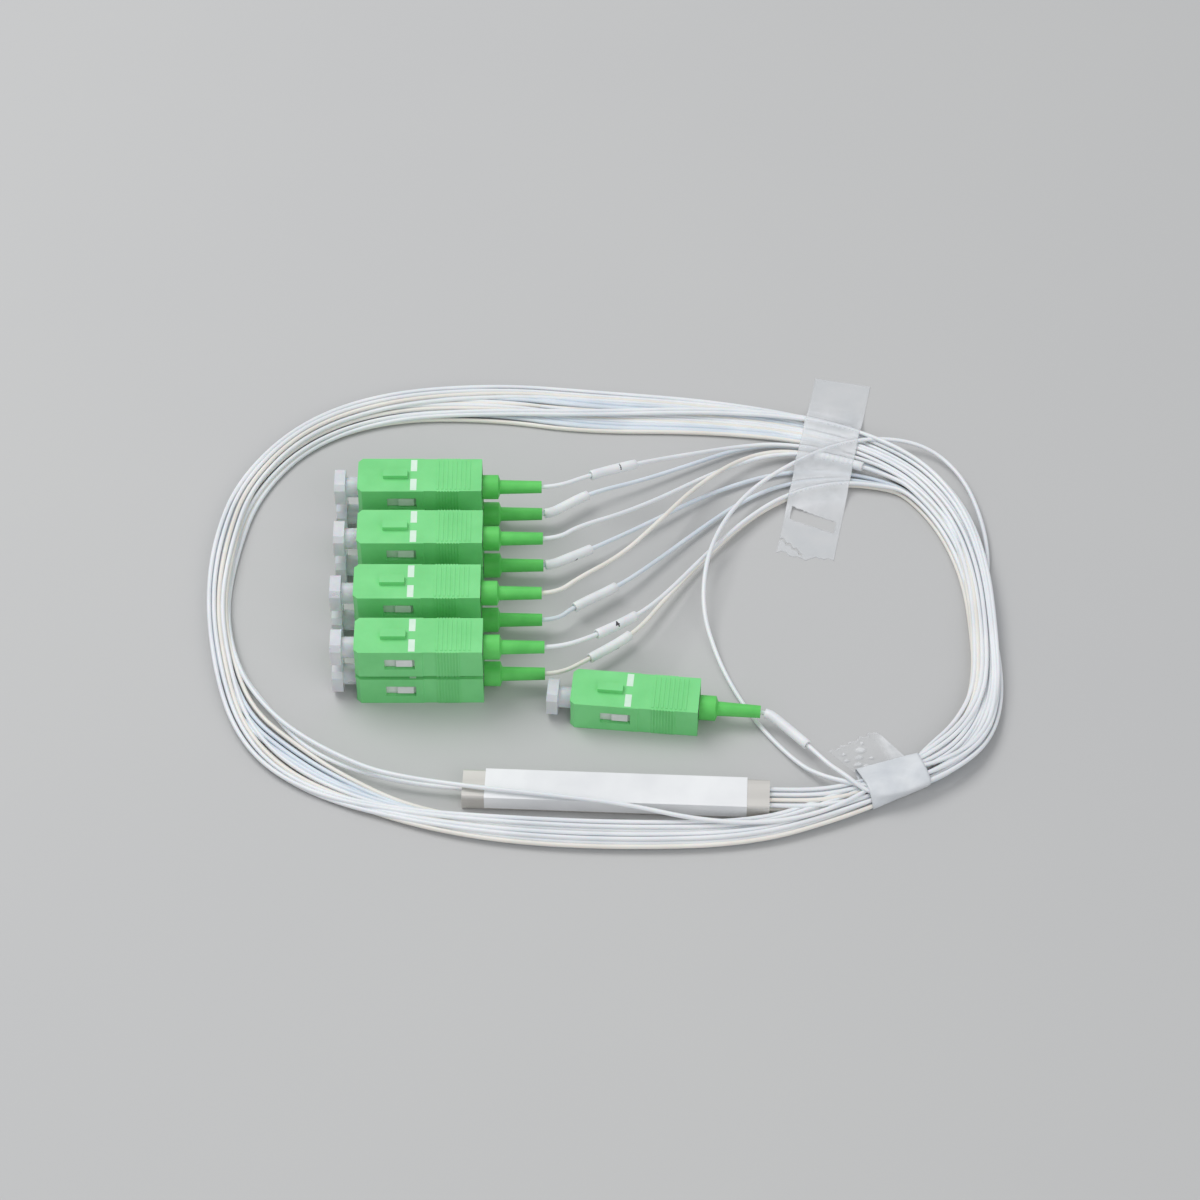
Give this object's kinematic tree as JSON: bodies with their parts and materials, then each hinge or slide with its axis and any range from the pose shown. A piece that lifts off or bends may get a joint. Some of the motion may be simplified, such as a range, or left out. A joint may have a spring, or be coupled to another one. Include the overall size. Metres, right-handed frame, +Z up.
{
  "type": "plc fibre splitter",
  "caption": "Flat steel fibre splitter module with white buffered pigtails wound in a taped flat coil, each ending in a green push-pull connector with a clear dust cap.",
  "frame": {"origin": "middle of the splitter module's underside, on the surface that the part lies on", "axes": "+X along the connectors from dust cap to boot and nearly along the module from input end to output end, +Z up"},
  "size_m": [0.1603, 0.1266, 0.0167],
  "materials": {
    "grip": "satin moulded plastic",
    "plug_frame": "white moulded plastic",
    "ferrule": "polished zirconia",
    "dust_cap": "translucent soft plastic",
    "boot": "soft rubber",
    "rear_body": "turned metal",
    "spring": "steel wire",
    "module_tube": "satin stainless",
    "label": "white film",
    "seal": "cured sealant",
    "chip": "silica",
    "fibre_block": "silica",
    "fibre": "smooth buffer tube",
    "sleeve": "printed sleeve",
    "tape": "frosted film"
  },
  "bodies": {
    "splitter": {"output_1_plug_frame": "plug_frame", "output_2_plug_frame": "plug_frame", "output_3_plug_frame": "plug_frame", "output_4_plug_frame": "plug_frame", "output_5_plug_frame": "plug_frame", "output_6_plug_frame": "plug_frame", "output_7_plug_frame": "plug_frame", "output_8_plug_frame": "plug_frame", "input_plug_frame": "plug_frame", "boots": "boot", "rear_bodies": "rear_body", "ferrule_springs": "spring", "module_tube": "module_tube", "module_label": "label", "input_end_seal": "seal", "output_end_seal": "seal", "splitter_chip": "chip", "fibre_blocks": "fibre_block", "output_1_fibre": "fibre", "output_2_fibre": "fibre", "output_3_fibre": "fibre", "output_4_fibre": "fibre", "output_5_fibre": "fibre", "output_6_fibre": "fibre", "output_7_fibre": "fibre", "output_8_fibre": "fibre", "input_fibre": "fibre", "marker_sleeves": "sleeve", "fibre_coil": "fibre", "tape_strip": "tape", "tape_wrap": "tape"},
    "output_1 grip": {"output_1_grip": "grip"},
    "output_1 ferrule": {"output_1_ferrule": "ferrule"},
    "output_1 dust cap": {"output_1_dust_cap": "dust_cap"},
    "output_2 grip": {"output_2_grip": "grip"},
    "output_2 ferrule": {"output_2_ferrule": "ferrule"},
    "output_2 dust cap": {"output_2_dust_cap": "dust_cap"},
    "output_3 grip": {"output_3_grip": "grip"},
    "output_3 ferrule": {"output_3_ferrule": "ferrule"},
    "output_3 dust cap": {"output_3_dust_cap": "dust_cap"},
    "output_4 grip": {"output_4_grip": "grip"},
    "output_4 ferrule": {"output_4_ferrule": "ferrule"},
    "output_4 dust cap": {"output_4_dust_cap": "dust_cap"},
    "output_5 grip": {"output_5_grip": "grip"},
    "output_5 ferrule": {"output_5_ferrule": "ferrule"},
    "output_5 dust cap": {"output_5_dust_cap": "dust_cap"},
    "output_6 grip": {"output_6_grip": "grip"},
    "output_6 ferrule": {"output_6_ferrule": "ferrule"},
    "output_6 dust cap": {"output_6_dust_cap": "dust_cap"},
    "output_7 grip": {"output_7_grip": "grip"},
    "output_7 ferrule": {"output_7_ferrule": "ferrule"},
    "output_7 dust cap": {"output_7_dust_cap": "dust_cap"},
    "output_8 grip": {"output_8_grip": "grip"},
    "output_8 ferrule": {"output_8_ferrule": "ferrule"},
    "output_8 dust cap": {"output_8_dust_cap": "dust_cap"},
    "input grip": {"input_grip": "grip"},
    "input ferrule": {"input_ferrule": "ferrule"},
    "input dust cap": {"input_dust_cap": "dust_cap"}
  },
  "joints": [
    {"name": "output_1 grip slide", "type": "slide", "parent": "splitter", "child": "output_1 grip", "axis": [1, 0, 0], "range_m": [0, 0.002]},
    {"name": "output_1 ferrule spring", "type": "slide", "parent": "splitter", "child": "output_1 ferrule", "axis": [1, 0, 0], "range_m": [0, 0.001], "stiffness_N_per_m": 1000, "deforming": ["ferrule_springs"]},
    {"name": "output_1 dust cap pull", "type": "slide", "parent": "splitter", "child": "output_1 dust cap", "axis": [-1, 0, 0], "range_m": [0, 0.008]},
    {"name": "output_2 grip slide", "type": "slide", "parent": "splitter", "child": "output_2 grip", "axis": [1, 0, 0], "range_m": [0, 0.002]},
    {"name": "output_2 ferrule spring", "type": "slide", "parent": "splitter", "child": "output_2 ferrule", "axis": [1, 0, 0], "range_m": [0, 0.001], "stiffness_N_per_m": 1000, "deforming": ["ferrule_springs"]},
    {"name": "output_2 dust cap pull", "type": "slide", "parent": "splitter", "child": "output_2 dust cap", "axis": [-1, 0, 0], "range_m": [0, 0.008]},
    {"name": "output_3 grip slide", "type": "slide", "parent": "splitter", "child": "output_3 grip", "axis": [1, 0, 0], "range_m": [0, 0.002]},
    {"name": "output_3 ferrule spring", "type": "slide", "parent": "splitter", "child": "output_3 ferrule", "axis": [1, 0, 0], "range_m": [0, 0.001], "stiffness_N_per_m": 1000, "deforming": ["ferrule_springs"]},
    {"name": "output_3 dust cap pull", "type": "slide", "parent": "splitter", "child": "output_3 dust cap", "axis": [-1, 0, 0], "range_m": [0, 0.008]},
    {"name": "output_4 grip slide", "type": "slide", "parent": "splitter", "child": "output_4 grip", "axis": [1, 0, 0], "range_m": [0, 0.002]},
    {"name": "output_4 ferrule spring", "type": "slide", "parent": "splitter", "child": "output_4 ferrule", "axis": [1, 0, 0], "range_m": [0, 0.001], "stiffness_N_per_m": 1000, "deforming": ["ferrule_springs"]},
    {"name": "output_4 dust cap pull", "type": "slide", "parent": "splitter", "child": "output_4 dust cap", "axis": [-1, 0, 0], "range_m": [0, 0.008]},
    {"name": "output_5 grip slide", "type": "slide", "parent": "splitter", "child": "output_5 grip", "axis": [1, 0, 0], "range_m": [0, 0.002]},
    {"name": "output_5 ferrule spring", "type": "slide", "parent": "splitter", "child": "output_5 ferrule", "axis": [1, 0, 0], "range_m": [0, 0.001], "stiffness_N_per_m": 1000, "deforming": ["ferrule_springs"]},
    {"name": "output_5 dust cap pull", "type": "slide", "parent": "splitter", "child": "output_5 dust cap", "axis": [-1, 0, 0], "range_m": [0, 0.008]},
    {"name": "output_6 grip slide", "type": "slide", "parent": "splitter", "child": "output_6 grip", "axis": [1, 0, 0], "range_m": [0, 0.002]},
    {"name": "output_6 ferrule spring", "type": "slide", "parent": "splitter", "child": "output_6 ferrule", "axis": [1, 0, 0], "range_m": [0, 0.001], "stiffness_N_per_m": 1000, "deforming": ["ferrule_springs"]},
    {"name": "output_6 dust cap pull", "type": "slide", "parent": "splitter", "child": "output_6 dust cap", "axis": [-1, 0, 0], "range_m": [0, 0.008]},
    {"name": "output_7 grip slide", "type": "slide", "parent": "splitter", "child": "output_7 grip", "axis": [1, 0, 0], "range_m": [0, 0.002]},
    {"name": "output_7 ferrule spring", "type": "slide", "parent": "splitter", "child": "output_7 ferrule", "axis": [1, 0, 0], "range_m": [0, 0.001], "stiffness_N_per_m": 1000, "deforming": ["ferrule_springs"]},
    {"name": "output_7 dust cap pull", "type": "slide", "parent": "splitter", "child": "output_7 dust cap", "axis": [-1, 0, 0], "range_m": [0, 0.008]},
    {"name": "output_8 grip slide", "type": "slide", "parent": "splitter", "child": "output_8 grip", "axis": [1, 0, 0], "range_m": [0, 0.002]},
    {"name": "output_8 ferrule spring", "type": "slide", "parent": "splitter", "child": "output_8 ferrule", "axis": [1, 0, 0], "range_m": [0, 0.001], "stiffness_N_per_m": 1000, "deforming": ["ferrule_springs"]},
    {"name": "output_8 dust cap pull", "type": "slide", "parent": "splitter", "child": "output_8 dust cap", "axis": [-1, 0, 0], "range_m": [0, 0.008]},
    {"name": "input grip slide", "type": "slide", "parent": "splitter", "child": "input grip", "axis": [0.9954, -0.0958, 0], "range_m": [0, 0.002]},
    {"name": "input ferrule spring", "type": "slide", "parent": "splitter", "child": "input ferrule", "axis": [0.9954, -0.0958, 0], "range_m": [0, 0.001], "stiffness_N_per_m": 1000, "deforming": ["ferrule_springs"]},
    {"name": "input dust cap pull", "type": "slide", "parent": "splitter", "child": "input dust cap", "axis": [-0.9954, 0.0958, 0], "range_m": [0, 0.008]}
  ]
}
